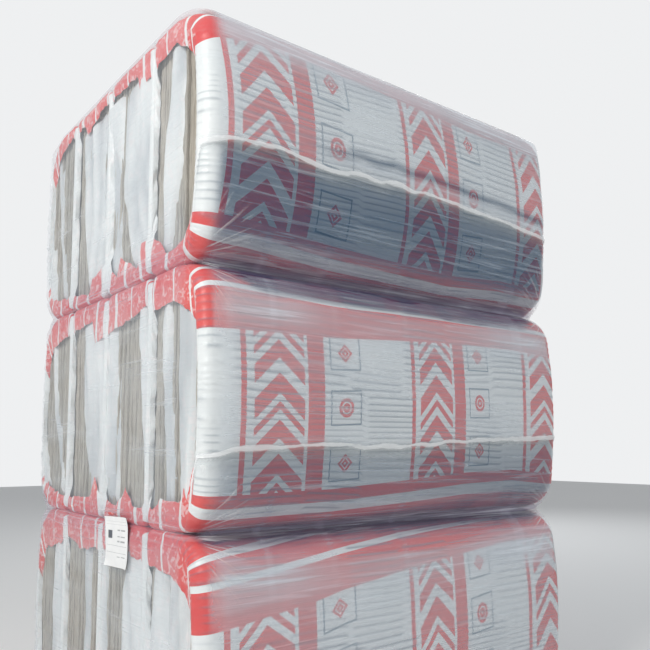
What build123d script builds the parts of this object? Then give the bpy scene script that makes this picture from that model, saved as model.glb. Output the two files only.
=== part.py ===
"""A stretch-wrapped stack of mineral wool slab packs.

Each pack is a row of slabs standing on their long edges, pressed together and held by a sleeve of
film. The sleeve runs round the slabs' long faces and curls over their ends, leaving a window there.
Packs stand side by side in a tier, the tiers stand on each other, and one wound film binds them all.

The origin is on the floor, under the middle of the stack. X runs along the slabs, Y across the packs
and Z up. All lengths are in millimetres and all angles in degrees.
"""

from build123d import *
import os
from math import asin, atan2, cos, degrees, radians, sin, sqrt

# Slabs
slab_length = 1250
slab_width = 610
slab_pressed = 14.0
slab_count = 20
slab_gap = 0.4

# Shape of a pack
outer_edge_radius = 100
outer_belly_angle = 8
inner_edge_radius = 30

# Sleeve of film round a pack
sleeve_thickness = 1.0
sleeve_fit = 0.3
side_lip = 46
end_lip = 62
window_corner = 34

# Stack
packs_in_tier = 4
pack_gap = 0.3
tier_gap = 0.3
tier_names = ["bottom", "middle", "top"]
tier_shift = 7
tier_setback = {"bottom": -tier_shift, "middle": -tier_shift, "top": tier_shift}

# Film wound round the stack
wrap_thickness = 1.0
wrap_fit = 0.3
wrap_waist_radius = 14
wrap_lower_edge = 45
wrap_top_lip = 150
wrap_top_corner = 60

# Label on the wound film
label_width = 145
label_height = 126
label_thickness = 0.8
label_fit = 0.3
label_tilt = 2
label_middle = -145
label_drop = 48

# Sizes that follow
sleeve_growth = sleeve_fit + sleeve_thickness
row_thickness = slab_count * slab_pressed + (slab_count - 1) * slab_gap
pack_length = slab_length + 2 * sleeve_growth
pack_height = slab_width + 2 * sleeve_growth
pack_thickness = row_thickness + 2 * sleeve_growth
pack_pitch = pack_thickness + pack_gap
tier_pitch = pack_height + tier_gap
stack_depth = packs_in_tier * pack_thickness + (packs_in_tier - 1) * pack_gap
places = ["front", "inner_front", "inner_back", "back"]

# Outline of an outer pack's slabs: the belly is the crown between two rounded long edges
belly_slope = radians(outer_belly_angle)
corner_rise = outer_edge_radius * (1 - sin(belly_slope))
corner_reach = outer_edge_radius * cos(belly_slope)
belly_radius = (slab_width / 2 - corner_rise) / sin(belly_slope)
belly_depth = belly_radius * (1 - cos(belly_slope))


# Outline of an outer pack's slabs, seen from their end, belly towards -Y, lower edge at zero
with BuildSketch() as front_outline:
    with BuildLine():
        belly = ThreePointArc(
            (belly_depth, corner_rise),
            (0, slab_width / 2),
            (belly_depth, slab_width - corner_rise),
        )
        upper = RadiusArc(
            belly @ 1, (belly_depth + corner_reach, slab_width), outer_edge_radius
        )
        lower = RadiusArc(
            (belly_depth + corner_reach, 0), belly @ 0, outer_edge_radius
        )
        Polyline(upper @ 1, (row_thickness, slab_width), (row_thickness, 0), lower @ 0)
    make_face()
    fillet(front_outline.vertices().group_by(Axis.X)[-1], inner_edge_radius)

with BuildSketch() as back_outline:
    mirrored = front_outline.sketch.mirror(Plane.YZ.offset(row_thickness / 2))
    add(mirrored)

# Outline of a pack that has a neighbour on both sides
with BuildSketch() as inner_outline:
    with Locations((row_thickness / 2, slab_width / 2)):
        RectangleRounded(row_thickness, slab_width, inner_edge_radius)

outlines = {
    "front": front_outline.sketch,
    "inner_front": inner_outline.sketch,
    "inner_back": inner_outline.sketch,
    "back": back_outline.sketch,
}


def tier_bottom(level):
    """Give the height of the slabs' lower edges in this tier, counted from the floor up."""
    return level * tier_pitch + sleeve_growth


def pack_plane(tier, place):
    """Give the plane at the lower front edge of a pack's slabs, seen along the stack."""
    depth = places.index(place) * pack_pitch + sleeve_growth - stack_depth / 2
    height = tier_bottom(tier_names.index(tier))
    return Plane.YZ.shift_origin((0, depth + tier_setback[tier], height))


def slabs(tier, place):
    """Make the row of slabs of one pack, each a solid of its own."""
    plane = pack_plane(tier, place)
    with BuildPart() as row:
        with BuildSketch(plane):
            add(outlines[place])
        extrude(amount=slab_length / 2, both=True)
        first_gap = plane.origin.Y + slab_pressed + slab_gap / 2
        middle = plane.origin.Z + slab_width / 2
        for index in range(slab_count - 1):
            with Locations((0, first_gap + index * (slab_pressed + slab_gap), middle)):
                Box(slab_length, slab_gap, slab_width, mode=Mode.SUBTRACT)
    return row


def sleeve(tier, place):
    """Make the film of one pack: a tube round the slabs that curls over both ends."""
    plane = pack_plane(tier, place)
    with BuildPart() as film:
        with BuildSketch(plane):
            add(outlines[place])
            offset(amount=sleeve_growth)
        extrude(amount=slab_length / 2 + sleeve_growth, both=True)
        with BuildSketch(plane):
            add(outlines[place])
            offset(amount=sleeve_fit)
        extrude(amount=slab_length / 2 + sleeve_fit, both=True, mode=Mode.SUBTRACT)
        with BuildSketch(plane) as window:
            with Locations((row_thickness / 2, slab_width / 2)):
                Rectangle(row_thickness - 2 * side_lip, slab_width - 2 * end_lip)
            chamfer(window.vertices(), window_corner)
        extrude(amount=pack_length, both=True, mode=Mode.SUBTRACT)
    return film


def wrap_arc(side, center, radius, start, end):
    """Draw an arc of the wound film: angles count upwards from straight out, on either side."""
    first = start if side > 0 else 180 - start
    CenterArc((side * center.X, center.Y), radius, first, side * (end - start))


def wrap_side(side, growth):
    """Draw one side of the wound film, from its lower edge up to the top of the stack."""
    corner_radius = outer_edge_radius + growth
    corner_out = stack_depth / 2 - sleeve_growth - belly_depth - corner_reach
    belly_out = stack_depth / 2 - sleeve_growth - belly_radius
    foot = tier_bottom(0) + outer_edge_radius - wrap_lower_edge
    lower_end = -degrees(asin(foot / corner_radius))
    for level, tier in enumerate(tier_names):
        bottom = tier_bottom(level)
        aside = side * tier_setback[tier]
        lower_corner = Vector(corner_out + aside, bottom + outer_edge_radius)
        upper_corner = Vector(corner_out + aside, bottom + slab_width - outer_edge_radius)
        belly_center = Vector(belly_out + aside, bottom + slab_width / 2)
        wrap_arc(side, lower_corner, corner_radius, lower_end, -outer_belly_angle)
        wrap_arc(
            side,
            belly_center,
            belly_radius + growth,
            -outer_belly_angle,
            outer_belly_angle,
        )
        if tier == tier_names[-1]:
            wrap_arc(side, upper_corner, corner_radius, outer_belly_angle, 90)
            return
        next_aside = side * tier_setback[tier_names[level + 1]]
        next_corner = Vector(
            corner_out + next_aside, tier_bottom(level + 1) + outer_edge_radius
        )
        across = next_corner - upper_corner
        reach = outer_edge_radius + wrap_waist_radius
        out = sqrt(reach**2 - (across.length / 2) ** 2)
        normal = Vector(across.Y, -across.X).normalized()
        waist = (upper_corner + next_corner) / 2 + normal * out
        upper_end = degrees(atan2(waist.Y - upper_corner.Y, waist.X - upper_corner.X))
        lower_end = degrees(atan2(waist.Y - next_corner.Y, waist.X - next_corner.X))
        wrap_arc(side, upper_corner, corner_radius, outer_belly_angle, upper_end)
        wrap_arc(
            side, waist, wrap_waist_radius - growth, 180 + upper_end, 180 + lower_end
        )


def wrap_section(growth):
    """Draw the wound film's surface at this growth from the slabs, closed below by a line."""
    with BuildSketch() as section:
        with BuildLine() as outline:
            wrap_side(-1, growth)
            wrap_side(1, growth)
            tops = outline.vertices().group_by(Axis.Y)[-1]
            feet = outline.vertices().group_by(Axis.Y)[0]
            Line(tops[0], tops[1])
            Line(feet[0], feet[1])
        make_face()
    return section.sketch


# Wound film: open below, folded in over the top's edges
wrap_growth = sleeve_growth + wrap_fit
wrap_half_length = pack_length / 2 + wrap_fit
stack_height = tier_bottom(len(tier_names) - 1) + slab_width + sleeve_growth
top_setback = tier_setback[tier_names[-1]]

with BuildPart() as stretch_wrap:
    with BuildSketch(Plane.YZ):
        add(wrap_section(wrap_growth + wrap_thickness))
    extrude(amount=wrap_half_length + wrap_thickness, both=True)
    with BuildSketch(Plane.YZ):
        add(wrap_section(wrap_growth))
    extrude(amount=wrap_half_length, both=True, mode=Mode.SUBTRACT)
    with BuildSketch(Plane.XY.offset(stack_height)):
        with Locations((0, top_setback)):
            RectangleRounded(
                pack_length - 2 * wrap_top_lip,
                stack_depth - 2 * wrap_top_lip,
                wrap_top_corner,
            )
    extrude(amount=2 * (wrap_fit + wrap_thickness), mode=Mode.SUBTRACT)

# Label: a plain plate on the film of the stack's end, over the lower waist
label_face = -(wrap_half_length + wrap_thickness + label_fit)

with BuildPart() as label:
    with BuildSketch(Plane.YZ.offset(label_face)):
        with Locations((label_middle, tier_pitch - label_drop)):
            Rectangle(label_width, label_height, rotation=-label_tilt)
    extrude(amount=-label_thickness)

os.makedirs("parts", exist_ok=True)

stretch_wrap.part.label = "stretch_wrap"
export_step(stretch_wrap.part, "parts/stretch_wrap.step")
label.part.label = "label"
export_step(label.part, "parts/label.step")

for tier in tier_names:
    for place in places:
        pack_slabs = slabs(tier, place)
        pack_slabs.part.label = f"{tier}_{place}_slabs"
        export_step(pack_slabs.part, f"parts/{tier}_{place}_slabs.step")
        pack_film = sleeve(tier, place)
        pack_film.part.label = f"{tier}_{place}_film"
        export_step(pack_film.part, f"parts/{tier}_{place}_film.step")
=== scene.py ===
"""Looks of the wrapped stack of mineral wool slab packs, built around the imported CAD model.

Metres in the frame of the CAD: X along the slabs, Y across the packs, Z up. Only the tables of
places are in millimetres. Each pack has its own printed sleeve of film, pleated over the wool at both
ends, and one clear stretch film goes round the whole stack.
"""

from math import cos, pi, radians, sin

import bpy
import numpy as np
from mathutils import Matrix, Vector


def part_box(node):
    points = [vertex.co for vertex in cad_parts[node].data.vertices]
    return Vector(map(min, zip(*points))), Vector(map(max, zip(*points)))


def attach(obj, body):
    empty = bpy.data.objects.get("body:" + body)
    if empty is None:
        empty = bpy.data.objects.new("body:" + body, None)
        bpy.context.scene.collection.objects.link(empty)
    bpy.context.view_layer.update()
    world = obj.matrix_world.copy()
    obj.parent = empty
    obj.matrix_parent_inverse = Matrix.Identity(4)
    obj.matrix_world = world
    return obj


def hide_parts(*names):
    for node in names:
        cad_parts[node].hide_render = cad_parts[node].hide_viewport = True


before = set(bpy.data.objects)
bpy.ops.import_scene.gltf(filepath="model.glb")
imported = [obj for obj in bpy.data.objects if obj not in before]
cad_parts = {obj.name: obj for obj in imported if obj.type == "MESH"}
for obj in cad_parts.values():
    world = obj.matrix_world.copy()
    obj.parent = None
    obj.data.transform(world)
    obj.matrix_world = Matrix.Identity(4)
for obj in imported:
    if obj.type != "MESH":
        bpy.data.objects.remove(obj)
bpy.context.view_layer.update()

TIERS = ["bottom", "middle", "top"]
PLACES = ["front", "inner_front", "inner_back", "back"]
OUTER_PLACES = ("front", "back")
SIDE = {"front": -1, "inner_front": -1, "inner_back": 1, "back": 1}
MM = 0.001

# Shape of a pack, as in the CAD source
OUTER_RADIUS = 0.100
BELLY_ANGLE = radians(8)
INNER_RADIUS = 0.030
SLAB_COUNT = 20
FILM_GROWTH = 1.3 * MM
WRAP_GROWTH = 5.6 * MM
WAIST_RADIUS = 0.014
LABEL_WIDTH = 0.145
LABEL_HEIGHT = 0.126
LABEL_TILT = radians(2)

SLABS_LOW, SLABS_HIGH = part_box("bottom_front_slabs")
THICKNESS = SLABS_HIGH.y - SLABS_LOW.y
WIDTH = SLABS_HIGH.z - SLABS_LOW.z
HALF_LENGTH = SLABS_HIGH.x
FILM_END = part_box("bottom_front_film")[1].x
BELLY_RADIUS = (WIDTH / 2 - OUTER_RADIUS * (1 - sin(BELLY_ANGLE))) / sin(BELLY_ANGLE)
BELLY_DEPTH = BELLY_RADIUS * (1 - cos(BELLY_ANGLE))
CORNER_AT = THICKNESS - BELLY_DEPTH - OUTER_RADIUS * cos(BELLY_ANGLE)
BELLY_FROM = CORNER_AT + OUTER_RADIUS * cos(BELLY_ANGLE)
WAISTS = [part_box(f"{tier}_front_film")[0].z for tier in TIERS[1:]]

# Wool ends lie a little behind the film's pleats, and its faces a little inside the film
WOOL_END = HALF_LENGTH - 13 * MM
INSET = 9 * MM

# Near their ends the outer sleeves slope in, over this length
END_SLOPE = 12 * MM
END_SLOPE_LENGTH = 0.085

# How far the outer sleeves' film turns round the upright edges, by tier, and the others' film
EDGE_ROUND = {"bottom": 0.032, "middle": 0.024, "top": 0.036}
INNER_EDGE_ROUND = 12 * MM

# A sleeve's tube in rows: how far it starts from the slabs' ends, and its part with finer rows
TUBE_INSET = 0.04
FINE_LENGTH = 0.075
ROW_SPACING = {"front": 0.0135, "back": 0.024, "inner_front": 0.06, "inner_back": 0.06}

# Stretch film: where it starts on the lower corners, how far it stands off the sleeves' ends, its
# corners seen from above, its columns along the front, the far end, the back and the near end,
# its columns at each corner, and its lip's rows
LOWER_EDGE_ANGLE = radians(33)
WRAP_OFF_END = 8 * MM
WRAP_CORNER = 0.045
WRAP_COLUMNS = (130, 40, 60, 50)
CORNER_COLUMNS = 8
LIP_ROWS = 8
LABEL_OFF_END = 10.5 * MM

# Depth of the printed flaps over the ends, from the tier's top and from its bottom, at places
# across the stack, in millimetres
TOP_FLAPS = {
    "bottom": [(-590, 130), (-550, 120), (-470, 87), (-300, 72), (-200, 66),
               (0, 70), (140, 88), (270, 60), (320, 89), (410, 110), (580, 80)],
    "middle": [(-590, 100), (-490, 88), (-430, 70), (-310, 82), (-280, 58),
               (-130, 86), (90, 118), (100, 48), (290, 58), (430, 82), (580, 60)],
    "top": [(-580, 75), (-440, 62), (-420, 46), (-360, 58), (-190, 78),
            (-180, 32), (-70, 36), (50, 26), (200, 62), (220, 26), (350, 28),
            (550, 70), (590, 50)],
}
BOTTOM_FLAPS = {
    "bottom": [(-590, 50), (-400, 70), (-380, 30), (-100, 60), (100, 40),
               (300, 80), (320, 40), (580, 60)],
    "middle": [(-590, 120), (-500, 96), (-470, 50), (-380, 64), (-330, 36),
               (-210, 32), (-170, 82), (-110, 30), (-10, 46), (50, 105),
               (90, 45), (300, 30), (440, 52), (580, 30)],
    "top": [(-580, 110), (-500, 50), (-450, 30), (-370, 30), (-330, 74),
            (-240, 90), (-220, 24), (-90, 82), (-70, 30), (20, 82),
            (120, 60), (140, 18), (300, 34), (450, 50), (590, 30)],
}

# Upright pleats of film over the wool: for each, its edges across the stack near the tier's
# bottom, at its middle and near its top, as they look in the plane of the stack's end,
# in millimetres
PLEATS = {
    "bottom": [
        ((-560, -440), (-556, -438), (-540, -450)),
        ((-444, -345), (-440, -340), (-440, -370)),
        ((-340, -180), (-338, -172), (-330, -200)),
        ((-95, -50), (-92, -50), (-84, -56)),
        ((38, 80), (40, 86), (50, 84)),
        ((226, 350), (232, 362), (250, 350)),
        ((470, 500), (478, 508), (480, 500)),
    ],
    "middle": [
        ((-552, -500), (-549, -466), (-545, -460)),
        ((-463, -413), (-446, -397), (-428, -376)),
        ((-351, -296), (-330, -277), (-306, -264)),
        ((-153, 77), (-120, 146), (-116, 175)),
        ((135, 172), (221, 250), (236, 280)),
        ((270, 304), (367, 400), (400, 428)),
        ((425, 462), (505, 533), (520, 545)),
    ],
    "top": [
        ((-428, -377), (-476, -377), (-472, -412)),
        ((-313, -200), (-298, -108), (-308, -116)),
        ((-118, -30), (-112, 32), (-112, 18)),
        ((-20, 131), (24, 186), (20, 214)),
        ((325, 346), (384, 400), (410, 436)),
        ((409, 470), (474, 522), (474, 530)),
        ((500, 560), (535, 575), (545, 575)),
    ],
}

# The pleats lie behind that plane, which moves their edges
PLEAT_HEIGHTS = (0.08, 0.5, 0.88)
PLEAT_SPREAD = 1.022
PLEAT_ASIDE = 0.043

# Turned edges of the stretch film across the long sides, the upper one first: heights at places
# along the stack, in millimetres
FILM_EDGES = [
    [(-660, 1480), (-560, 1501), (-440, 1510), (-280, 1494), (-200, 1501), (-40, 1506),
     (120, 1502), (320, 1490), (580, 1478), (660, 1470)],
    [(-660, 780), (-560, 800), (-310, 813), (-120, 806), (-50, 808), (140, 820),
     (600, 837), (660, 838)],
]

# Shaded recess at the waists: how dark it is, the girth from the middle of a face where it starts
# and is full, and how far it drifts at places along the stack, in millimetres
RECESS_DARK = 0.96
RECESS_DEEP = 1.30
RECESS_SOFT = {"bottom": 0.0, "middle": 0.24, "top": 0.54}
RECESS_UNDER = {"bottom": (0.80, 0.85), "middle": (0.280, 0.320), "top": (0.282, 0.340)}
RECESS_OVER = {"bottom": (0.245, 0.325), "middle": (0.232, 0.250), "top": (0.80, 0.85)}
RECESS_DRIFT = {
    "bottom": [(-600, 0), (600, 0)],
    "middle": [(-600, 30), (-230, 4), (150, -34), (360, -58), (600, -68)],
    "top": [(-600, 10), (0, 0), (600, -10)],
}

# Print on the sleeves, in metres: where its columns start along the sleeve and how they repeat,
# its bands round the sleeve from the middle of the face, and how its chevrons and marks repeat
PRINT_START = -0.546
PRINT_PITCH = 0.527
PRINT_BANDS = [
    (-0.570, -0.462), (-0.452, -0.362), (-0.350, -0.283), (-0.250, -0.2215), (0.1435, 0.230),
    (0.243, 0.292), (0.310, 0.405), (0.414, 0.505), (0.518, 0.575),
]
CHEVRON_PITCH = 0.185
MARK_PITCH = 0.1345

# How far the print has slipped round each tier's sleeves: at a girth, the slip at places along
# them, in millimetres
PRINT_SLIP = {
    "bottom": [
        (-250, [(-620, 10), (-300, 0), (300, -30), (600, -40)]),
        (100, [(-620, 40), (-572, 35), (-320, 4), (-244, -14), (-20, -43),
                (127, -61), (297, -80), (600, -105)]),
        (280, [(-620, 40), (-320, 2), (-20, -36), (300, -66), (600, -80)]),
        (420, [(-600, -30), (600, -30)]),
    ],
    "middle": [
        (160, [(-600, 2), (-270, -4), (0, -20), (200, -34), (400, -38), (600, -20)]),
        (240, [(-600, -12), (-260, 2), (150, -4), (600, -5)]),
        (360, [(-600, 0), (600, 0)]),
    ],
    "top": [
        (-220, [(-600, -11), (-500, -10), (-250, 8), (170, 20), (390, 5), (600, 10)]),
        (220, [(-625, -53), (-585, -63), (-525, -74), (-395, -95), (-254, -91),
                (-44, -79), (89, -73), (254, -66), (600, -70)]),
        (360, [(-600, -50), (600, -50)]),
    ],
}

# How far the print has slipped along each tier's sleeves, in millimetres, and how its columns bow
PRINT_SHIFT = {
    "bottom": [(-574, 28), (-28, 9), (440, 60)],
    "middle": [(-540, -6), (-20, 0), (440, 60)],
    "top": [(-572, 26), (-20, 0), (455, 50)],
}
PRINT_BOW = {"bottom": 0.0, "middle": 0.0, "top": 0.35}

# The floor reaches this far each way
FLOOR_HALF = 14


def noise(a, b, seed):
    """Smooth noise from -1 to 1 over a and b, with cells one unit wide."""
    cells = 256
    table = np.random.default_rng(seed).uniform(-1, 1, (cells, cells))
    a, b = np.broadcast_arrays(np.asarray(a, float), np.asarray(b, float))
    column, row = np.floor(a).astype(int), np.floor(b).astype(int)
    right, up = a - column, b - row
    right = right * right * (3 - 2 * right)
    up = up * up * (3 - 2 * up)
    here, beside = column % cells, (column + 1) % cells
    low, high = row % cells, (row + 1) % cells
    below = table[here, low] * (1 - right) + table[beside, low] * right
    above = table[here, high] * (1 - right) + table[beside, high] * right
    return below * (1 - up) + above * up


def smooth(value, start, end):
    """Goes from 0 at start to 1 at end, with level ends."""
    part = np.clip((value - start) / (end - start), 0, 1)
    return part * part * (3 - 2 * part)


def between(value, start, full, ebb, end):
    """Goes from 0 at start to 1 at full, and from 1 at ebb back to 0 at end."""
    return smooth(value, start, full) * (1 - smooth(value, ebb, end))


def near(value, middle, width):
    """One at the middle, and next to nothing a few widths away."""
    return np.exp(-(((value - middle) / width) ** 2))


def along(pairs, value):
    """Value of a line through (place, height) pairs in millimetres."""
    places, heights = np.array(pairs).T * MM
    return np.interp(value, places, heights)


class Patch:
    """Collects grids of quads, their print coordinates and their vertex values into one mesh."""

    def __init__(self):
        self.points = []
        self.faces = []
        self.prints = []
        self.values = []
        self.count = 0

    def grid(self, points, prints, values=(0.0, 0.0, 0.0), closed=False, flip=False):
        """Adds a grid of points; a closed one joins its last column to its first."""
        rows, columns = points.shape[:2]
        values = np.stack([np.broadcast_to(value, (rows, columns)) for value in values], -1)
        across = columns if closed else columns - 1
        row = np.arange(rows - 1)[:, None]
        column = np.arange(across)[None, :]
        corners = [(row, column), (row, column + 1), (row + 1, column + 1), (row + 1, column)]
        if flip:
            corners.reverse()
        faces = np.stack([self.count + r * columns + c % columns for r, c in corners], -1)
        uv = np.stack([prints[r, c] for r, c in corners], -2)
        self.points.append(points.reshape(-1, 3))
        self.faces.append(faces.reshape(-1, 4))
        self.prints.append(uv.reshape(-1, 2))
        self.values.append(values.reshape(-1, 3))
        self.count += rows * columns

    def make(self, name, material, slot, *nodes):
        """Makes the piece, lets it ride on the root and stand for its CAD nodes."""
        points = np.concatenate(self.points)
        faces = np.concatenate(self.faces)
        mesh = bpy.data.meshes.new(name)
        mesh.vertices.add(len(points))
        mesh.vertices.foreach_set("co", points.ravel())
        mesh.loops.add(faces.size)
        mesh.loops.foreach_set("vertex_index", faces.ravel())
        mesh.polygons.add(len(faces))
        mesh.polygons.foreach_set("loop_start", np.arange(len(faces)) * 4)
        mesh.update(calc_edges=True)
        mesh.polygons.foreach_set("use_smooth", np.ones(len(faces), bool))
        layer = mesh.uv_layers.new(name="print")
        layer.data.foreach_set("uv", np.concatenate(self.prints).ravel())
        state = mesh.attributes.new("state", "FLOAT_VECTOR", "POINT")
        state.data.foreach_set("vector", np.concatenate(self.values).ravel())
        mesh.materials.append(material)
        mesh.validate()
        piece = bpy.data.objects.new(name, mesh)
        bpy.context.scene.collection.objects.link(piece)
        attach(piece, "root")
        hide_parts(*nodes)
        return piece


class Nodes:
    """Short ways to place the nodes of one material."""

    def __init__(self, name):
        self.material = bpy.data.materials.new(name)
        self.material.use_nodes = True
        self.tree = self.material.node_tree
        self.shader = self.tree.nodes["Principled BSDF"]

    def node(self, kind, **settings):
        made = self.tree.nodes.new(kind)
        for key, value in settings.items():
            setattr(made, key, value)
        return made

    def feed(self, socket, value):
        if isinstance(value, bpy.types.NodeSocket):
            self.tree.links.new(value, socket)
        else:
            socket.default_value = value

    def math(self, operation, *inputs):
        made = self.node("ShaderNodeMath", operation=operation)
        for socket, value in zip(made.inputs, inputs):
            self.feed(socket, value)
        return made.outputs[0]

    def chain(self, operation, first, *others):
        for other in others:
            first = self.math(operation, first, other)
        return first

    def plus(self, *values):
        return self.chain("ADD", *values)

    def minus(self, first, second):
        return self.math("SUBTRACT", first, second)

    def times(self, *values):
        return self.chain("MULTIPLY", *values)

    def most(self, *values):
        return self.chain("MAXIMUM", *values)

    def size(self, value):
        return self.math("ABSOLUTE", value)

    def distance(self, first, second):
        """Distance of a place from the origin of two axes."""
        return self.math("SQRT", self.plus(self.times(first, first), self.times(second, second)))

    def noise(self, where, scale, detail=3.0, distortion=0.0):
        """Noise at a place, or at the object's coordinates, scaled by three numbers."""
        if isinstance(where, tuple):
            mapping = self.node("ShaderNodeMapping")
            self.feed(mapping.inputs["Vector"], self.node("ShaderNodeTexCoord").outputs["Object"])
            mapping.inputs["Scale"].default_value = where
            where = mapping.outputs[0]
        made = self.node("ShaderNodeTexNoise")
        self.feed(made.inputs["Vector"], where)
        made.inputs["Scale"].default_value = scale
        made.inputs["Detail"].default_value = detail
        made.inputs["Distortion"].default_value = distortion
        return made.outputs["Fac"]

    def ramp(self, value, stops, interpolation="LINEAR"):
        """Grey ramp through (position, value) pairs, or colour ramp if the values are colours."""
        made = self.node("ShaderNodeValToRGB")
        made.color_ramp.interpolation = interpolation
        elements = made.color_ramp.elements
        while len(elements) < len(stops):
            elements.new(1.0)
        for element, (position, shade) in zip(elements, stops):
            element.position = position
            element.color = (*shade, 1) if hasattr(shade, "__len__") else (shade, shade, shade, 1)
        self.feed(made.inputs[0], value)
        return made.outputs[0]

    def inside(self, value, spans, low=0, high=1):
        """One where the value, which runs from low to high over the ramp, is in a span, else zero."""
        stops = [(0.0, 0.0)]
        for start, end in spans:
            stops.append(((start - low) / (high - low), 1.0))
            stops.append(((end - low) / (high - low), 0.0))
        return self.ramp(value, stops, "CONSTANT")

    def mix(self, part, first, second):
        made = self.node("ShaderNodeMix", data_type="RGBA")
        self.feed(made.inputs["Factor"], part)
        for socket, value in ((made.inputs[6], first), (made.inputs[7], second)):
            self.feed(socket, (*value, 1) if isinstance(value, tuple) else value)
        return made.outputs[2]

    def surface(self, colour, roughness, specular=0.5):
        self.feed(self.shader.inputs["Base Color"], colour)
        self.feed(self.shader.inputs["Roughness"], roughness)
        self.feed(self.shader.inputs["Specular IOR Level"], specular)

    def bump(self, height, strength, distance):
        made = self.node("ShaderNodeBump")
        made.inputs["Strength"].default_value = strength
        made.inputs["Distance"].default_value = distance
        self.feed(made.inputs["Height"], height)
        self.feed(self.shader.inputs["Normal"], made.outputs[0])

    def split(self, vector):
        """The three parts of a vector."""
        parts = self.node("ShaderNodeSeparateXYZ")
        self.feed(parts.inputs[0], vector)
        return parts.outputs

    def state(self):
        """The three values that each vertex carries."""
        return self.split(self.node("ShaderNodeAttribute", attribute_name="state").outputs["Vector"])

    def print_place(self):
        """The two print coordinates, along the sleeve and round it."""
        parts = self.split(self.node("ShaderNodeUVMap", uv_map="print").outputs[0])
        return parts[0], parts[1]


def film_material():
    """White film with red bands, rules, chevron columns and small framed marks."""
    made = Nodes("printed_film")
    length, girth = made.print_place()
    recess, phase, size = made.state()

    # Bands along the edges of the face
    turn = made.plus(made.times(girth, 0.5), 0.5)
    bands = made.inside(turn, PRINT_BANDS, -1, 1)
    on_face = made.inside(turn, [(-0.221, 0.1435)], -1, 1)

    # Columns that repeat along the sleeve
    repeat = made.math("FRACT", made.math("DIVIDE", made.minus(length, PRINT_START), PRINT_PITCH))
    rules = made.inside(repeat, [(0.0, 0.016), (0.186, 0.236)], 0, PRINT_PITCH)
    motif = made.inside(repeat, [(0.036, 0.176)], 0, PRINT_PITCH)
    marks = made.inside(repeat, [(0.250, 0.358)], 0, PRINT_PITCH)

    # Bold chevrons of different widths
    local = made.times(repeat, PRINT_PITCH)
    from_axis = made.size(made.minus(local, 0.106))
    bent = made.plus(girth, made.times(from_axis, 0.9), 1.02)
    wave = made.math("FRACT", made.math("DIVIDE", bent, CHEVRON_PITCH))
    chevrons = made.inside(wave, [(0.0, 0.042), (0.066, 0.084), (0.104, 0.150)], 0, CHEVRON_PITCH)

    # Framed marks: a thin frame round a ring or a lozenge
    cell = made.math("DIVIDE", made.plus(girth, 1.033), MARK_PITCH)
    up = made.minus(made.times(made.math("FRACT", cell), MARK_PITCH), 0.067)
    beside = made.minus(local, 0.304)
    tall, wide = made.size(up), made.size(beside)
    frames = made.inside(made.most(tall, made.minus(wide, 0.006)), [(0.0362, 0.0394)])
    odd = made.math("MODULO", made.math("FLOOR", cell), 2.0)
    ring = made.times(made.distance(up, beside), odd)
    lozenge = made.times(made.plus(tall, wide), made.minus(1.0, odd))
    symbols = made.inside(made.plus(ring, lozenge), [(0.0, 0.008), (0.014, 0.023)])

    on_columns = made.most(rules, made.times(motif, chevrons), made.times(marks, symbols))
    red = made.most(bands, made.times(on_columns, on_face))
    red = made.times(red, made.ramp(made.plus(recess, 1.0), [(0.3, 0.0), (0.6, 1.0)]))
    cloud = made.noise((1, 1, 1), 5.0, 4.0)
    white = made.ramp(cloud, [(0.3, (0.76, 0.80, 0.81)), (0.7, (0.83, 0.86, 0.86))])
    ink = made.ramp(cloud, [(0.3, (0.68, 0.075, 0.08)), (0.7, (0.76, 0.12, 0.11))])
    colour = made.mix(red, white, ink)
    colour = made.mix(made.times(marks, frames, on_face, 0.8), colour, (0.08, 0.17, 0.24))

    # Painted highlights on the crumpled film where it turns over the end
    on_flap = made.ramp(made.plus(recess, 1.0), [(0.85, 1.0), (0.95, 0.0)])
    crumple_highlights = made.ramp(made.noise((1, 1, 1), 46.0, 5.0, 1.4), [(0.53, 0.0), (0.62, 1.0)])
    colour = made.mix(made.times(crumple_highlights, 0.5, on_flap), colour, (0.90, 0.84, 0.84))

    # The shade between the packs is darkest in blocks of short dashes
    blocks = made.ramp(made.noise((1, 0, 0.4), 9.0, 1.0), [(0.46, 0.0), (0.54, 1.0)])
    dashes = made.ramp(
        made.math("FRACT", made.times(girth, 95.0)), [(0.10, 1.0), (0.35, 0.0), (0.70, 0.0), (0.95, 1.0)]
    )
    shade = made.times(made.most(recess, 0.0), made.plus(made.times(blocks, dashes, 0.34), 0.70))
    depths = made.ramp(
        made.noise((2.2, 1, 60), 2.4, 3.0), [(0.35, (0.030, 0.036, 0.090)), (0.65, (0.085, 0.045, 0.110))]
    )
    colour = made.mix(shade, colour, depths)

    # Painted shade in the creases of the ripples' valleys
    valley = made.size(made.minus(made.math("FRACT", phase), 0.5))
    crease = made.times(made.ramp(valley, [(0.0, 1.0), (0.10, 0.55), (0.24, 0.0)]), size)
    colour = made.mix(made.times(crease, 0.68), colour, (0.14, 0.19, 0.25))
    roughness = made.ramp(made.noise((1, 1, 1), 40.0, 2.0), [(0.2, 0.30), (0.8, 0.50)])
    made.surface(colour, roughness, 0.35)
    crinkle = made.noise((0.5, 1, 1), 90.0, 4.0, 0.6)
    made.bump(made.minus(crinkle, made.times(crease, 0.8)), 0.4, 0.002)
    return made.material


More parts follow.
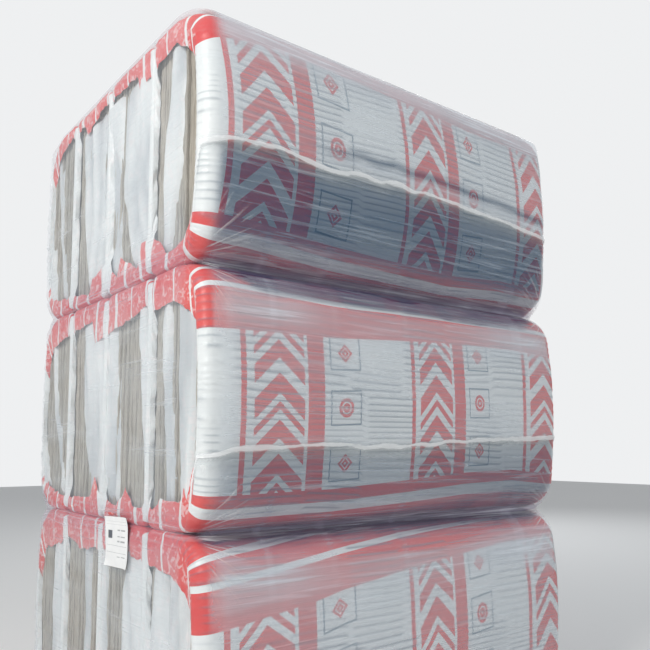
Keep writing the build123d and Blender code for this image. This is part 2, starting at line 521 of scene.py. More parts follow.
def wool_material():
    """Matt grey-beige wool whose edges show layered fibres."""
    made = Nodes("mineral_wool")
    layers = made.noise((0.3, 9.0, 0.35), 14.0, 6.0, 0.4)
    fibres = made.noise((1.0, 6.0, 0.9), 70.0, 5.0, 1.2)
    blotches = made.noise((1.0, 1.0, 0.4), 6.0, 3.0)
    tone = made.plus(made.times(layers, 0.6), made.times(fibres, 0.4))
    colour = made.ramp(tone, [
        (0.32, (0.25, 0.23, 0.19)), (0.44, (0.38, 0.35, 0.30)), (0.56, (0.48, 0.45, 0.39)),
        (0.68, (0.60, 0.57, 0.51)),
    ])
    warm = made.ramp(blotches, [(0.35, (0.43, 0.43, 0.40)), (0.65, (0.52, 0.46, 0.38))])
    colour = made.mix(0.45, colour, warm)
    colour = made.mix(made.state()[0], colour, (0.16, 0.14, 0.12))
    made.surface(colour, 0.95, 0.1)
    made.bump(tone, 0.9, 0.004)
    return made.material


def wrap_material():
    """Clear stretch film: hazy in bands, with fine streaks, white turned edges and pulled folds."""
    made = Nodes("clear_stretch_film")
    away, haze = made.print_place()
    tone, waist, on_end = made.state()

    # Fine streaks along the film, and longer ones pulled in at the waists
    streak = made.noise((1.6, 1.6, 42.0), 2.6, 5.0, 0.5)
    sharp = made.ramp(streak, [(0.52, 0.0), (0.70, 1.0)])
    fine = made.ramp(made.noise((3.0, 3.0, 120.0), 2.2, 3.0, 0.3), [(0.55, 0.0), (0.75, 1.0)])
    pulled = made.ramp(made.noise((2.0, 2.0, 95.0), 1.6, 3.0, 0.8), [(0.50, 0.0), (0.62, 1.0)])
    pulled = made.times(pulled, waist)

    # Folds that spread from the waists at the stack's upright edges
    spot = made.split(made.node("ShaderNodeTexCoord").outputs["Object"])
    fans = 0.0
    for height in WAISTS:
        for end in (-1, 1):
            sideways = made.minus(HALF_LENGTH + 0.02, made.times(spot[0], end))
            rise = made.minus(spot[2], height)
            far = made.distance(rise, sideways)
            where = made.node("ShaderNodeCombineXYZ")
            made.feed(where.inputs[0], made.math("ARCTAN2", rise, sideways))
            made.feed(where.inputs[1], made.times(far, 0.35))
            rays = made.ramp(made.noise(where.outputs[0], 16.0, 3.0, 0.2), [(0.52, 0.0), (0.60, 1.0)])
            fade = made.ramp(far, [(0.015, 0.0), (0.04, 1.0), (0.09, 0.8), (0.20, 0.0)])
            fans = made.plus(fans, made.times(rays, fade))
    fans = made.times(fans, made.minus(1.0, on_end))

    # White turned edge with a ragged outline, and a painted creamy highlight below it
    ragged = made.minus(made.noise((1, 1, 1), 34.0, 3.0), 0.5)
    shifted = made.plus(away, made.times(ragged, 0.008))
    width = made.ramp(made.noise((1, 1, 0.2), 7.0, 2.0), [(0.35, 0.0030), (0.65, 0.0085)])
    from_edge = made.math("DIVIDE", made.size(shifted), width)
    white_edge = made.ramp(made.times(from_edge, 0.5), [(0.35, 1.0), (0.65, 0.0)])
    fold = made.ramp(made.times(shifted, -1.0), [(0.0, 0.0), (0.004, 1.0), (0.020, 0.5), (0.045, 0.0)])
    fold = made.times(fold, 0.42)

    veil = made.plus(haze, made.times(sharp, haze, 0.45), made.times(fine, 0.06), made.times(pulled, 0.13))
    veil = made.most(veil, made.times(fans, 0.75), fold, made.times(white_edge, 0.85))
    made.feed(made.shader.inputs["Alpha"], made.math("MINIMUM", veil, 0.92))

    # Painted shade: the veil turns dark blue where the tone is high
    colour = made.mix(tone, (0.80, 0.86, 0.93), (0.02, 0.09, 0.19))
    # Painted shade: a violet veil over the recess at the waists
    colour = made.mix(made.times(waist, 0.7), colour, (0.40, 0.32, 0.50))
    colour = made.mix(made.times(sharp, 0.4), colour, (0.80, 0.86, 0.92))
    colour = made.mix(made.times(pulled, 0.8), colour, (0.78, 0.80, 0.88))
    # Painted creamy highlight below the turned edge
    colour = made.mix(fold, colour, (0.72, 0.72, 0.64))
    pale = made.most(white_edge, made.math("MINIMUM", fans, 1.0))
    made.surface(made.mix(pale, colour, (0.92, 0.94, 0.95)), 0.22)
    relief = made.plus(streak, made.times(fine, 0.3), made.times(made.plus(pulled, fans), 0.4))
    made.bump(relief, 0.6, 0.004)
    return made.material


def label_material():
    """White paper with plain ruled lines, bars and a dark block."""
    made = Nodes("label_paper")
    across, up = made.print_place()
    rules = made.inside(up, [(0.28, 0.288), (0.42, 0.426), (0.84, 0.846), (0.90, 0.906)])
    rules = made.times(rules, made.times(made.inside(across, [(0.06, 0.94)]), 0.55))
    block = made.times(made.inside(up, [(0.56, 0.72)]), made.inside(across, [(0.12, 0.30)]))
    bars = made.inside(up, [(0.20, 0.215), (0.50, 0.53), (0.60, 0.62), (0.72, 0.75)])
    bars = made.times(bars, made.inside(across, [(0.54, 0.66), (0.70, 0.88)]), 0.6)
    paper = made.ramp(made.noise((1, 1, 1), 30.0), [(0.3, (0.86, 0.87, 0.88)), (0.7, (0.92, 0.93, 0.93))])
    made.surface(made.mix(made.most(rules, block, bars), paper, (0.10, 0.11, 0.13)), 0.6)
    made.bump(made.noise((1, 1, 1), 300.0), 0.2, 0.0004)
    return made.material


def trace(pieces):
    """Points, outward normals and running length round an outline of lines and arcs."""
    points, normals, lengths = [], [], []
    run = 0.0
    for piece in pieces:
        if piece[0] == "line":
            start, end, normal, step = np.array(piece[1]), np.array(piece[2]), piece[3], piece[4]
            size = np.linalg.norm(end - start)
            count = max(1, round(size / step))
            part = np.arange(count) / count
            points.append(start + part[:, None] * (end - start))
            normals.append(np.tile(normal, (count, 1)))
        else:
            center, radius, first, last, step = piece[1:]
            size = radius * abs(last - first)
            count = max(1, round(size / step))
            part = np.arange(count) / count
            angle = first + part * (last - first)
            facing = np.stack([np.cos(angle), np.sin(angle)], -1)
            points.append(np.array(center) + radius * facing)
            normals.append(facing)
        lengths.append(run + part * size)
        run += size
    return np.concatenate(points), np.concatenate(normals), np.concatenate(lengths), run


def pack_outline(place, face_step):
    """Outline of a pack's film seen from its end: out from its inner side, up from its lower edge.

    The running length is counted from the middle of the face, upwards.
    """
    r, g, step = INNER_RADIUS, FILM_GROWTH, 10 * MM
    if place in OUTER_PLACES:
        angle, corner, reach, corner_step = BELLY_ANGLE, CORNER_AT, OUTER_RADIUS, 1.3 * face_step
        center = (THICKNESS - BELLY_RADIUS, WIDTH / 2)
        face = ("arc", center, BELLY_RADIUS + g, -angle, angle, face_step)
    else:
        angle, corner, reach, corner_step = 0.0, THICKNESS - r, r, 1.3 * (step / 2)
        face = ("line", (THICKNESS + g, reach), (THICKNESS + g, WIDTH - reach), (1, 0), step)
    points, normals, lengths, total = trace([
        ("line", (-g, WIDTH / 2), (-g, r), (-1, 0), step),
        ("arc", (r, r), r + g, pi, 1.5 * pi, step / 2),
        ("line", (r, -g), (corner, -g), (0, -1), step),
        ("arc", (corner, reach), reach + g, -pi / 2, -angle, corner_step),
        face,
        ("arc", (corner, WIDTH - reach), reach + g, angle, pi / 2, corner_step),
        ("line", (corner, WIDTH + g), (r, WIDTH + g), (0, 1), step),
        ("arc", (r, WIDTH - r), r + g, pi / 2, pi, step / 2),
        ("line", (-g, WIDTH - r), (-g, WIDTH / 2), (-1, 0), step),
    ])
    return points, normals, lengths - total / 2, total


def outline_reach(height):
    """How far out an outer pack's slabs reach at a height above their lower edges."""
    from_middle = np.abs(height - WIDTH / 2)
    belly = THICKNESS - BELLY_RADIUS + np.sqrt(BELLY_RADIUS**2 - from_middle**2)
    into_corner = np.clip(from_middle - WIDTH / 2 + OUTER_RADIUS, 0, OUTER_RADIUS)
    corner = CORNER_AT + np.sqrt(OUTER_RADIUS**2 - into_corner**2)
    return np.where(into_corner > OUTER_RADIUS * sin(BELLY_ANGLE), corner, belly)


def pack_place(tier, place):
    """Y of a pack's inner side and Z of its slabs' lower edges."""
    low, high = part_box(f"{tier}_{place}_slabs")
    return (high.y if SIDE[place] < 0 else low.y), low.z


def wrinkles(x, girth, tier, place):
    """How far the sleeve's film stands off its even surface, and its ripples' phase and size."""
    seed = 10 * TIERS.index(tier) + PLACES.index(place)
    from_end = HALF_LENGTH - np.abs(x)

    # Ripples come in blocks along the sleeve
    blocks = (x + 0.05 * (girth > 0.02)) / 0.178
    block, within = np.floor(blocks), np.mod(blocks, 1.0)
    phase = girth / 0.0175 + 0.9 * noise(x / 0.40, girth / 0.11, seed + 40) + 0.37 * np.mod(block, 2)
    size = np.clip(0.72 + 0.9 * noise(block * 1.7 + 3, girth / 0.12, seed + 80), 0, 1)
    sooner = 0.52 * smooth(np.abs(girth), 0.25, 0.28)
    size = size * between(within, 0, 0.07, 0.93 - sooner, 1.0 - sooner)
    size = size * smooth(from_end, 0.05, 0.10)
    ripple = 1.3 * MM * size * np.cos(2 * pi * phase)
    sway = 1.3 * MM * noise(x / 0.6, girth / 0.045, seed + 120)
    dents = 2.4 * MM * noise(x / 0.22, girth / 0.18, seed + 160)

    # Short ticks near the ends
    tick_phase = girth / 0.021 + 0.8 * noise(girth / 0.06, x / 0.2, seed + 200)
    ticks = (0.5 - np.abs(np.sin(pi * tick_phase))) * 3.4 * MM * np.exp(-np.maximum(from_end, 0) / 0.035)
    ticks = ticks * (0.6 + 0.6 * noise(girth / 0.045, x / 0.04, seed + 240))

    # Only film with no neighbour is free to stand off
    free = np.zeros_like(girth)
    if place in OUTER_PLACES:
        free = 1 - smooth(np.abs(girth), 0.40, 0.50)
    if tier == "top":
        free = np.maximum(free, between(girth, 0.33, 0.38, 0.52, 0.60))
    lift = 2.6 * MM * np.tanh(free * (ripple + sway + dents + ticks) / (2.6 * MM))
    at_edge = 1 - smooth(from_end, 0.030, 0.055)
    tick_size = at_edge * np.clip(0.15 + 1.2 * noise(girth / 0.05, x / 0.03, seed + 260), 0, 0.6)
    phase = np.where(from_end < 0.05, tick_phase + 0.5, phase)
    return lift, phase, free * np.maximum(size, tick_size)


def on_print(tier, x, girth):
    """The print's coordinates, along it and round it, at a place on a tier's sleeve."""
    girths, slips = zip(*[(at * MM, along(pairs, x)) for at, pairs in PRINT_SLIP[tier]])
    slip = slips[0]
    for step in range(len(girths) - 1):
        part = np.clip((girth - girths[step]) / (girths[step + 1] - girths[step]), 0, 1)
        slip = slip + (slips[step + 1] - slips[step]) * part
    bow = PRINT_BOW[tier] * np.clip(girth, -0.25, 0.25) ** 2
    return np.stack([x + along(PRINT_SHIFT[tier], x) + bow, girth + slip], -1)


def slope_in(x):
    """How far a long side lies inwards near the ends of the stack."""
    return END_SLOPE * np.maximum(1 - (HALF_LENGTH - np.abs(x)) / END_SLOPE_LENGTH, 0) ** 2


def flap_depths(tier, end, y):
    """Depth of the printed flaps from the tier's top and bottom at one end of the stack."""
    across = y if end < 0 else -y
    jag = 4 * MM * noise(across / 0.018, 7.0, 300 + TIERS.index(tier))
    return along(TOP_FLAPS[tier], across) + jag, along(BOTTOM_FLAPS[tier], across) + jag


def sleeve_rows(place):
    """Rows of a sleeve from one end's window to the other's: kind, end and part of the way."""
    window = [("lip", part) for part in np.linspace(1, 0, 13)]
    window += [("turn", part) for part in np.linspace(1, 0, 8)[1:-1]]
    span = 2 * (HALF_LENGTH - TUBE_INSET)
    fine = np.linspace(0, FINE_LENGTH, 15 if place in OUTER_PLACES else 3)
    count = int(round(2 * (HALF_LENGTH - TUBE_INSET - FINE_LENGTH) / ROW_SPACING[place]))
    coarse = np.linspace(FINE_LENGTH, span - FINE_LENGTH, count)[1:-1]
    tube = np.concatenate([fine, coarse, span - fine[::-1]]) / span
    rows = [(kind, -1, part) for kind, part in window]
    rows += [("tube", 0, part) for part in tube]
    return rows + [(kind, 1, part) for kind, part in reversed(window)]


def waist_shade(tier, x, girth):
    """How dark the recess between the tiers makes an outer sleeve."""
    drifted = -girth - along(RECESS_DRIFT[tier], x)
    under = RECESS_SOFT[tier] * smooth(drifted, 0.19, 0.27)
    under = under + (RECESS_DARK - RECESS_SOFT[tier]) * smooth(drifted, *RECESS_UNDER[tier])
    later = 0.07 * smooth(np.abs(x), 0.44, 0.62)
    over = np.where(girth > 0, smooth(girth, 0.222 + later, 0.255 + later), 1.0)
    return (under + RECESS_DEEP * smooth(girth, *RECESS_OVER[tier])) * over


def sleeve(patch, tier, place):
    """The film of a pack: its tube, its turned edges and its flaps over both ends."""
    seed = 10 * TIERS.index(tier) + PLACES.index(place)
    side = SIDE[place]
    inner_y, bottom = pack_place(tier, place)
    outer = place in OUTER_PLACES
    points, normals, girth, total = pack_outline(place, 4 * MM if place == "front" else 8 * MM)
    out_weight = outer * (1 - smooth(np.abs(girth), 0.30, 0.42))
    edge = INNER_EDGE_ROUND + (EDGE_ROUND[tier] - INNER_EDGE_ROUND) * out_weight
    plain_side = np.abs(normals[:, 0]) > 0.75
    if outer:
        plain_side = plain_side & (points[:, 0] < THICKNESS / 2)
    y_flat = inner_y + side * points[:, 0]
    center = np.array([THICKNESS / 2, WIDTH / 2])
    far = HALF_LENGTH + FILM_GROWTH
    grid, prints, states = [], [], []
    for kind, end, part in sleeve_rows(place):
        turn = {"tube": 0.0, "turn": part * pi / 2, "lip": pi / 2}[kind]
        if kind == "tube":
            x = (edge - far) * (1 - 2 * part)
        else:
            x = end * (far - edge * (1 - np.sin(turn)))
        at = points - normals * (slope_in(x) * out_weight + edge * (1 - np.cos(turn)))[:, None]
        lift, phase, size = wrinkles(x, girth, tier, place)
        at = at + normals * lift[:, None]
        along_print = x
        if kind == "turn":
            x = x + end * np.sin(turn) * lift * 0.5
        if kind == "lip":
            top, foot = flap_depths(tier, end, y_flat)
            side_lip = 6 * MM + 7 * MM * noise(at[:, 1] / 0.06, 3.0 * end, seed + 400)
            side_lip = side_lip + 3 * MM * noise(at[:, 1] / 0.018, 3.0 * end, seed + 401)
            beside, over = ((at - center) / center).T
            inwards = np.sign(beside) * smooth(np.abs(beside), 0.0, 1.0) * side_lip
            goal = at - np.stack([inwards, over * np.where(over > 0, top, foot)], -1)
            flap = smooth(np.abs(over), 0.80, 0.97)
            at = at + (goal - at) * part
            y_now = inner_y + side * at[:, 0]
            fold = noise(y_now / 0.022, at[:, 1] / 0.07, seed + 440 + end)
            crease = noise(y_now / 0.009, at[:, 1] / 0.03, seed + 480 + end)
            bulge = flap * (1.5 * MM + 3.2 * MM * fold + 1.2 * MM * crease) * min(1.0, 4 * part)
            sink = (1 - flap) * 9 * MM * part
            x = x + end * (bulge - sink - 3 * MM * part**6)
            along_print = x + end * np.abs(goal[:, 1] - points[:, 1]) * part
            size = 0.0 * size
        y = inner_y + side * at[:, 0]
        z = np.maximum(bottom + at[:, 1], 0.3 * MM)
        grid.append(np.stack([x, y, z], -1))
        prints.append(on_print(tier, along_print, girth))
        reached = smooth(HALF_LENGTH - np.abs(x), 0.01, 0.06) if kind == "tube" else 0.0
        shaded = outer * waist_shade(tier, x, girth) * reached - 0.2 * (kind == "lip")
        states.append(np.stack([np.where(plain_side, -1.0, shaded), phase, size], 0))
    prints = np.stack(prints)
    prints = np.concatenate([prints, prints[:, :1] + np.array([0, total])], 1)
    patch.grid(np.stack(grid), prints, np.stack(states, 1), closed=True, flip=side > 0)


def pleat(patch, tier, end, edges, index):
    """One upright pleat of film over the wool, wavy at its edges."""
    seed = 500 + 20 * TIERS.index(tier) + index + (10 if end > 0 else 0)
    low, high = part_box(f"{tier}_front_slabs")[0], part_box(f"{tier}_back_slabs")[1]
    front_low, back_high = (low.y, high.y) if end < 0 else (-high.y, -low.y)
    height = np.linspace(0.012, WIDTH - 0.012, 44)
    slack = THICKNESS - outline_reach(height) + 14 * MM
    borders = []
    for which in (0, 1):
        places = [pair[which] * MM for pair in edges]
        border = np.interp(height / WIDTH, PLEAT_HEIGHTS, places) * PLEAT_SPREAD + PLEAT_ASIDE
        border = border + 3.5 * MM * noise(height / 0.05, 1.0 + 2 * which, seed)
        border = border + 1.5 * MM * noise(height / 0.015, 2.0 + 2 * which, seed)
        borders.append(np.clip(border, front_low + slack, back_high - slack))
    left, right = borders[0], np.maximum(borders[1], borders[0] + 1 * MM)
    widest = max(b / 1000 - a / 1000 for a, b in edges)
    part = np.linspace(0, 1, int(np.clip(widest / 0.009, 9, 26)))[None, :]
    y = left[:, None] + (right - left)[:, None] * part
    z = low.z + height[:, None] + 0 * y
    crown = (1 - np.abs(2 * part - 1) ** 5) ** 0.5
    folds = noise((y + 0.06 * noise(z / 0.3, 1.0, seed + 63)) / 0.034, z / 0.36, seed + 60)
    small = noise(y / 0.013, z / 0.15, seed + 61)
    crumple = noise(y / 0.03, z / 0.045, seed + 62)
    stand = 12 * MM + 7.0 * MM * folds + 2.2 * MM * small + 1.4 * MM * crumple
    tucked = 1 - smooth(np.minimum(height, WIDTH - height)[:, None], 0.02, 0.07)
    x = WOOL_END - 4 * MM + crown * np.clip(stand, 3 * MM, 21 * MM) * (1 - tucked) - 6 * MM * tucked
    grid = np.stack([end * x, -end * y, z], -1)
    prints = np.stack([y * 0 + 5.0, y * 0 + 2.0], -1)
    # Painted shade in the pleat's hollows, where it stands off least, carried as the creases' phase and
    # size
    hollow_shade = smooth(-stand, -17 * MM, -5 * MM)
    patch.grid(grid, prints, (-1.0, 0.5 + 0.20 * (1 - hollow_shade), 0.62))


def sleeve_piece(tier, place, material):
    """The film of a pack, with the pleats that hang over its wool."""
    patch = Patch()
    sleeve(patch, tier, place)
    low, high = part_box(f"{tier}_{place}_slabs")
    for end in (-1, 1):
        source = TIERS[(TIERS.index(tier) + (0 if end < 0 else 1)) % len(TIERS)]
        for index, edges in enumerate(PLEATS[source]):
            across = -end * (sum(edges[1]) / 2 * MM * PLEAT_SPREAD + PLEAT_ASIDE)
            if low.y <= across < high.y + 1.5 * MM:
                pleat(patch, tier, end, edges, index)
    patch.make(f"film_{tier}_{place}", material, "sleeve_film", f"{tier}_{place}_film")


def slab_piece(tier, place, material):
    """The slabs of a pack: each a soft closed board with fibrous ends."""
    patch = Patch()
    side = SIDE[place]
    inner_y, bottom = pack_place(tier, place)
    outer = place in OUTER_PLACES
    seed = 700 + 10 * TIERS.index(tier) + PLACES.index(place)
    stagger = np.random.default_rng(seed).uniform(-3.5 * MM, 3.5 * MM, (SLAB_COUNT, 2))
    middle = WIDTH / 2
    radius = OUTER_RADIUS if outer else INNER_RADIUS
    corner = CORNER_AT if outer else THICKNESS - INNER_RADIUS
    edge = EDGE_ROUND[tier]
    across, upwards = np.linspace(0.04, 0.96, 5), np.linspace(-1, 1, 31)[:, None]
    from_center = np.abs(np.linspace(-1, 1, 5))
    for index in range(SLAB_COUNT):
        # Half height of the slab across its thickness, under the pack's outline
        out = np.minimum((index + across) * THICKNESS / SLAB_COUNT, THICKNESS - INSET)
        reached = np.minimum(out + INSET, THICKNESS - 0.2 * MM)
        turned = np.clip(reached - corner, 0, 0.995 * radius)
        half = middle - radius + np.sqrt(radius**2 - turned**2)
        inward = np.clip(INNER_RADIUS - out, 0, INNER_RADIUS)
        half = np.minimum(half, middle - INNER_RADIUS + np.sqrt(INNER_RADIUS**2 - inward**2))
        if outer:
            on_belly = np.sqrt(np.maximum(BELLY_RADIUS**2 - (reached - THICKNESS + BELLY_RADIUS) ** 2, 0))
            half = np.where(reached > BELLY_FROM, on_belly, half)
        z = middle + upwards * (half - INSET)
        o = np.broadcast_to(out, z.shape)

        # Depth under the outer pack's face, which rounds the ends of the slabs there
        depth = np.full(z.shape, 1.0)
        if outer:
            belly = BELLY_RADIUS - np.hypot(o - THICKNESS + BELLY_RADIUS, z - middle)
            over_corner = np.abs(z - middle) - middle + OUTER_RADIUS
            from_corner = OUTER_RADIUS - np.hypot(o - CORNER_AT, over_corner)
            depth = np.where((o > CORNER_AT) & (over_corner > 0), from_corner, belly)
        rounding = edge - np.sqrt(np.maximum(edge**2 - np.clip(edge - depth, 0, edge) ** 2, 0))
        dark = 0.60 * from_center**4 + 0 * z
        loops = []
        for which, end in enumerate((-1, 1)):
            rough = 2.2 * MM * noise(o / 0.006, z / 0.05, seed + index + which)
            rough = rough + 1.2 * MM * noise(o / 0.004, z / 0.015, seed + 90 + index + which)
            x = end * (WOOL_END - rounding + stagger[index, which] + rough - 2.5 * MM * from_center**3)
            face = np.stack([x, inner_y + side * o, bottom + z], -1)
            patch.grid(face, np.zeros((*z.shape, 2)), (dark, 0.0, 0.0), flip=end * side > 0)
            loops.append(np.concatenate([face[0, :-1], face[:-1, -1], face[-1, :0:-1], face[:0:-1, 0]]))
        walls = np.stack(loops)
        patch.grid(walls, np.zeros((2, walls.shape[1] + 1, 2)), closed=True, flip=side < 0)
    patch.make(f"slabs_{tier}_{place}", material, "wool", f"{tier}_{place}_slabs")


def arc(center, radius, first, last, count, turn=0.0):
    """Levels of the wrap on an arc: out and up from the stack's middle, and the film's slope."""
    angles = np.linspace(first, last, count)
    facing = np.stack([np.cos(angles), np.sin(angles)], -1)
    return np.column_stack([center + radius * facing, angles - turn])


def wrap_levels(side):
    """Levels of the wrap up one long side, from its lower edge to the top of the stack."""
    corner_radius, reach = OUTER_RADIUS + WRAP_GROWTH, OUTER_RADIUS + WAIST_RADIUS
    place, which = ("front", 0) if side < 0 else ("back", 1)
    extremes = [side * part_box(f"{tier}_{place}_slabs")[which].y for tier in TIERS]
    lowers, uppers = [], []
    for tier, extreme in zip(TIERS, extremes):
        corner_out = extreme - BELLY_DEPTH - OUTER_RADIUS * cos(BELLY_ANGLE)
        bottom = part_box(f"{tier}_front_slabs")[0].z
        lowers.append(np.array([corner_out, bottom + OUTER_RADIUS]))
        uppers.append(np.array([corner_out, bottom + WIDTH - OUTER_RADIUS]))
    low_end = -LOWER_EDGE_ANGLE
    levels = []
    for lower, upper, following, extreme in zip(lowers, uppers, [*lowers[1:], None], extremes):
        belly = np.array([extreme - BELLY_RADIUS, (lower[1] + upper[1]) / 2])
        levels.append(arc(lower, corner_radius, low_end, -BELLY_ANGLE, 14)[:-1])
        levels.append(arc(belly, BELLY_RADIUS + WRAP_GROWTH, -BELLY_ANGLE, BELLY_ANGLE, 58)[:-1])
        if following is None:
            levels.append(arc(upper, corner_radius, BELLY_ANGLE, pi / 2, 18))
            continue
        rise = following - upper
        size = np.linalg.norm(rise)
        normal = np.array([rise[1], -rise[0]]) / size
        waist = (upper + following) / 2 + normal * (reach**2 - (size / 2) ** 2) ** 0.5
        up_end = np.arctan2(*(waist - upper)[::-1])
        low_end = np.arctan2(*(waist - following)[::-1])
        levels.append(arc(upper, corner_radius, BELLY_ANGLE, up_end, 14)[:-1])
        levels.append(arc(waist, WAIST_RADIUS - WRAP_GROWTH, pi + up_end, pi + low_end, 9, pi)[:-1])
    return np.concatenate(levels)


def wrap_grid(front, back, height, end_out):
    """Points of the wrap and its outward normals: rows go up, columns go round the stack."""
    far = end_out - WRAP_CORNER
    low, high = WRAP_CORNER - front[:, 0], back[:, 0] - WRAP_CORNER
    corners = np.array([(-far, low), (far, low), (far, high), (-far, high), (-far, low)])
    upright = 0 * height
    slopes = (front[:, 2], upright, back[:, 2], upright)
    points, normals = [], []
    for index, count in enumerate(WRAP_COLUMNS):
        angle = (index - 1) * pi / 2
        columns = [(part, angle, slopes[index]) for part in np.arange(count) / count]
        for turn in np.arange(CORNER_COLUMNS) / CORNER_COLUMNS * pi / 2:
            columns.append((1.0, angle + turn, upright))
        for part, facing, slope in columns:
            start, end = corners[index], corners[index + 1]
            x, y = start + (end - start) * part + WRAP_CORNER * np.array([[cos(facing)], [sin(facing)]])
            points.append(np.stack([x, y, height], -1))
            level = np.cos(slope)
            normals.append(np.stack([cos(facing) * level, sin(facing) * level, np.sin(slope)], -1))
    return np.stack(points, 1), np.stack(normals, 1)


def wrap_looks(x, y, z, run):
    """How the wrap looks: off its turned edge, haze, a dark tone of painted shade, and how near to a waist
    and an end.
    """
    offs = []
    for number, edge in enumerate(FILM_EDGES):
        offs.append(z - along(edge, x) - 5 * MM * noise(x / 0.06, number + 0.5, 900 + number))
    upper = z > WAISTS[1] - 0.05
    over_lower = z > WAISTS[0]
    away = np.where(upper, *offs)
    waist_here = sum(near(z, waist, 0.050) for waist in WAISTS)
    on_end = smooth(np.abs(x), 0.580, 0.612)

    # Light or dark between the turned edges
    below = smooth(-away, 0.0, 0.012) * over_lower
    cloud = noise(run / 0.35, z / 0.05, 905)
    haze_above = np.where(over_lower & ~upper, 0.26, 0.30) + 0.40 * smooth(z, 1.70, 1.78)
    haze = haze_above * (1 - below) + np.where(upper, 0.57, 0.41) * below + 0.06 * cloud

    # Above the upper turned edge: a painted light streak, and a painted shade streak above that
    rightwards = upper * smooth(x, -0.45, -0.10)
    highlight_streak = near(away, 0.026, 0.007) * rightwards
    shade_streak = near(away, 0.050, 0.014) * rightwards

    # Under each waist: a clear strip over the shaded recess, a milky one and a pale one below it
    beside = 0.05 * smooth(-x, 0.45, 0.60)
    clear, pale, bars, bridge, milky = 0.0, 0.0, 0.0, 0.0, 0.0
    for waist in WAISTS:
        rise = z - waist
        clear = clear + between(rise, -0.085 + beside, -0.065 + beside, 0.04, 0.07)
        pale = pale + between(rise, -0.21, -0.16, -0.09, -0.07)
        bars = bars + near(rise, -0.01, 0.10)
        bridge = bridge + near(rise, 0.002, 0.013)
        milky = milky + between(rise, -0.17, -0.11, -0.060, -0.030)
    bars = bars * np.maximum(noise(x / 0.030, 1.5, 931) + 0.35 * noise(x / 0.3, 4.5, 932) - 0.30, 0)
    at_right = smooth(x, 0.10, 0.45)
    haze = haze * (1 - np.where(z > WAISTS[0] + 0.3, 0.55, 0.38) * clear) + 0.10 * pale
    haze = haze + 0.24 * bars + 0.22 * highlight_streak + 0.24 * shade_streak
    # The film bridges the groove at each waist; its stronger veil there is painted light
    haze = haze + (0.20 + 0.20 * at_right) * bridge
    haze = haze + milky * (0.30 * at_right + 0.17 * smooth(-x, 0.22, 0.42))

    # Clear round the near upright edge but for a thin shine, and clearer on the ends
    shine = near(x, -0.598, 0.008) * (z < WAISTS[1]) * pale
    haze = haze * (1 - 0.85 * smooth(-x, 0.560, 0.622)) + 0.40 * shine
    haze_end = (0.20 + 0.08 * cloud) * (1 - smooth(-y, 0.46, 0.53)) + 0.02
    haze = haze * (1 - on_end) + haze_end * on_end
    # Painted shade: a dark tone on the veil below the turned edges, but not at the waists
    tone = np.where(upper, 1.0, 0.75) * below * (1 - waist_here)
    tone = np.maximum(tone, 0.9 * shade_streak) * (1 - on_end)
    return away, haze, tone, waist_here, on_end


def wrap_piece(material):
    """The stretch film: a band round the stack that dips at the waists and folds in over the top."""
    front, back = wrap_levels(-1), wrap_levels(1)
    height = (front[:, 1] + back[:, 1]) / 2
    near_waist = sum(near(height, waist, 0.030) for waist in WAISTS)
    end_out = FILM_END + WRAP_OFF_END - 7 * MM * near_waist - 9 * MM * smooth(height, 1.800, 1.843)
    grid, normal = wrap_grid(front, back, height, end_out)
    x, y, z = grid[..., 0], grid[..., 1], grid[..., 2]
    facing = np.abs(normal[..., 1])
    run = np.where(facing > 0.5, x, y)
    long_side = smooth(facing, 0.05, 0.5)
    away, haze, tone, waist_here, on_end = wrap_looks(x, y, z, run)
    line = away * long_side + 0.3 * (1 - long_side)

    # Wrinkles, folds pulled in at the waists, and the thick turned edge
    wrinkle = 1.6 * MM * noise(run / 0.28, z / 0.016, 910) + 1.2 * MM * noise(run / 0.12, z / 0.034, 911)
    pull = 2.4 * MM * waist_here * noise(run / 0.10, z / 0.010, 912)
    lift = np.clip(wrinkle + pull, -1.2 * MM, 4 * MM) + 2.5 * MM * near(away, 0, 7 * MM) * long_side
    grid = grid + normal * lift[..., None]
    inwards = slope_in(x) * (1 - np.minimum(waist_here, 1)) * (1 - smooth(z, 1.74, 1.80))
    grid[..., 1] -= np.sign(y) * inwards * smooth(np.abs(y), 0.44, 0.55)
    grid[..., 2] = np.maximum(grid[..., 2], 1 * MM)

    # Lip folded in over the top
    rim_x, rim_y, rim_z = grid[-1].T
    center_y = (back[-1, 0] - front[-1, 0]) / 2
    wanted = 0.13 + 0.03 * noise(np.arange(len(rim_x)) / 14, 2.5, 920)
    part = np.arange(1, LIP_ROWS + 1)[:, None] / LIP_ROWS
    lip = np.stack([
        rim_x * (1 - part * wanted / end_out[-1]),
        center_y + (rim_y - center_y) * (1 - part * (wanted - 0.09) / back[-1, 0]),
        rim_z + 2 * MM * noise(rim_x / 0.05 + part, rim_y / 0.05, 930) * part,
    ], -1)
    line, haze, tone, waist_here, on_end = (
        np.pad(values, ((0, LIP_ROWS), (0, 0)), constant_values=flat)
        for values, flat in ((line, 0.3), (haze, 0.50), (tone, 0.0), (waist_here, 0.0), (on_end, 0.0))
    )
    prints = np.stack([line, haze], -1)
    prints = np.concatenate([prints, prints[:, :1]], 1)
    patch = Patch()
    patch.grid(np.concatenate([grid, lip]), prints, (tone, waist_here, on_end), closed=True)
    patch.make("stretch_film", material, "stretch_film", "stretch_wrap")


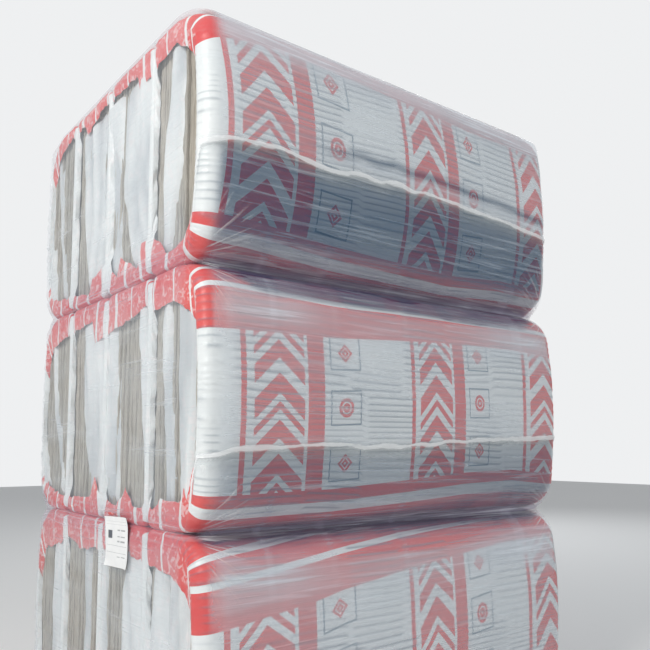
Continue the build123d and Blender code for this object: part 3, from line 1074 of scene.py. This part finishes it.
def label_piece(material):
    """The paper label: a thin sheet that follows the film and lifts at its corners."""
    patch = Patch()
    low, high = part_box("label")
    across, up = np.meshgrid(np.linspace(-1, 1, 25), np.linspace(-1, 1, 25))
    curl = 5 * MM * (across * up) ** 4 + 1.2 * MM * noise(across * 2, up * 1.5, 950)
    aside, above = across * LABEL_WIDTH / 2, up * LABEL_HEIGHT / 2
    y = (low.y + high.y) / 2 + aside * cos(LABEL_TILT) + above * sin(LABEL_TILT)
    z = (low.z + high.z) / 2 - aside * sin(LABEL_TILT) + above * cos(LABEL_TILT)
    prints = np.stack([0.5 - across / 2, 0.5 + up / 2], -1)
    for behind in (0, 1):
        x = -(FILM_END + LABEL_OFF_END + curl) + behind * 0.5 * MM
        patch.grid(np.stack([x, y, z], -1), prints, flip=behind == 0)
    patch.make("paper_label", material, "label_paper", "label")


def build_object():
    film, wool = film_material(), wool_material()
    for tier in TIERS:
        for place in PLACES:
            sleeve_piece(tier, place, film)
            slab_piece(tier, place, wool)
    wrap_piece(wrap_material())
    label_piece(label_material())


def area_light(name, location, target, size, power, colour=(1, 1, 1)):
    data = bpy.data.lights.new(name, "AREA")
    data.shape = "DISK"
    data.size = size
    data.energy = power
    data.color = colour
    lamp = bpy.data.objects.new(name, data)
    lamp.location = location
    lamp.rotation_euler = (Vector(target) - Vector(location)).to_track_quat("-Z", "Y").to_euler()
    bpy.context.scene.collection.objects.link(lamp)


def studio():
    """A plain pale floor and backdrop, soft light, and the photograph's camera."""
    scene = bpy.context.scene
    world = bpy.data.worlds.new("studio")
    scene.world = world
    world.use_nodes = True
    tree = world.node_tree
    background = tree.nodes["Background"]
    background.inputs["Color"].default_value = (0.93, 0.96, 1.0, 1)
    background.inputs["Strength"].default_value = 0.38
    shown = tree.nodes.new("ShaderNodeBackground")
    shown.inputs["Color"].default_value = (0.86, 0.87, 0.88, 1)
    path = tree.nodes.new("ShaderNodeLightPath")
    seen = path.outputs["Is Camera Ray"]
    for ray in ("Is Glossy Ray", "Is Transmission Ray"):
        larger = tree.nodes.new("ShaderNodeMath")
        larger.operation = "MAXIMUM"
        tree.links.new(seen, larger.inputs[0])
        tree.links.new(path.outputs[ray], larger.inputs[1])
        seen = larger.outputs[0]
    mixer = tree.nodes.new("ShaderNodeMixShader")
    tree.links.new(seen, mixer.inputs[0])
    tree.links.new(background.outputs[0], mixer.inputs[1])
    tree.links.new(shown.outputs[0], mixer.inputs[2])
    tree.links.new(mixer.outputs[0], tree.nodes["World Output"].inputs["Surface"])

    pale = Nodes("floor")
    pale.surface((0.93, 0.93, 0.92, 1), 0.9)
    mesh = bpy.data.meshes.new("floor")
    corners = [(FLOOR_HALF * x, FLOOR_HALF * y, 0) for x, y in ((-1, -1), (1, -1), (1, 1), (-1, 1))]
    mesh.from_pydata(corners, [], [(0, 1, 2, 3)])
    mesh.materials.append(pale.material)
    floor = bpy.data.objects.new("floor", mesh)
    scene.collection.objects.link(floor)

    area_light("key", (-4.2, -1.6, 3.4), (-0.6, 0, 1.0), 1.4, 134, (1.0, 0.98, 0.94))
    area_light("fill", (0.6, -3.2, 4.4), (0, -0.4, 1.0), 2.4, 20, (0.92, 0.96, 1.0))
    area_light("back", (4.6, 3.4, 3.8), (0.9, 0.5, 0.5), 2.4, 70, (0.96, 0.98, 1.0))

    data = bpy.data.cameras.new("camera")
    data.lens = 40.19
    data.sensor_width = 36
    data.shift_y = 0.0846
    camera = bpy.data.objects.new("camera", data)
    camera.location = (-1.359, -1.958, 0.804)
    camera.rotation_euler = (pi / 2 + 0.093, 0, -0.655)
    scene.collection.objects.link(camera)
    scene.camera = camera
    scene.view_settings.view_transform = "Standard"


build_object()
studio()
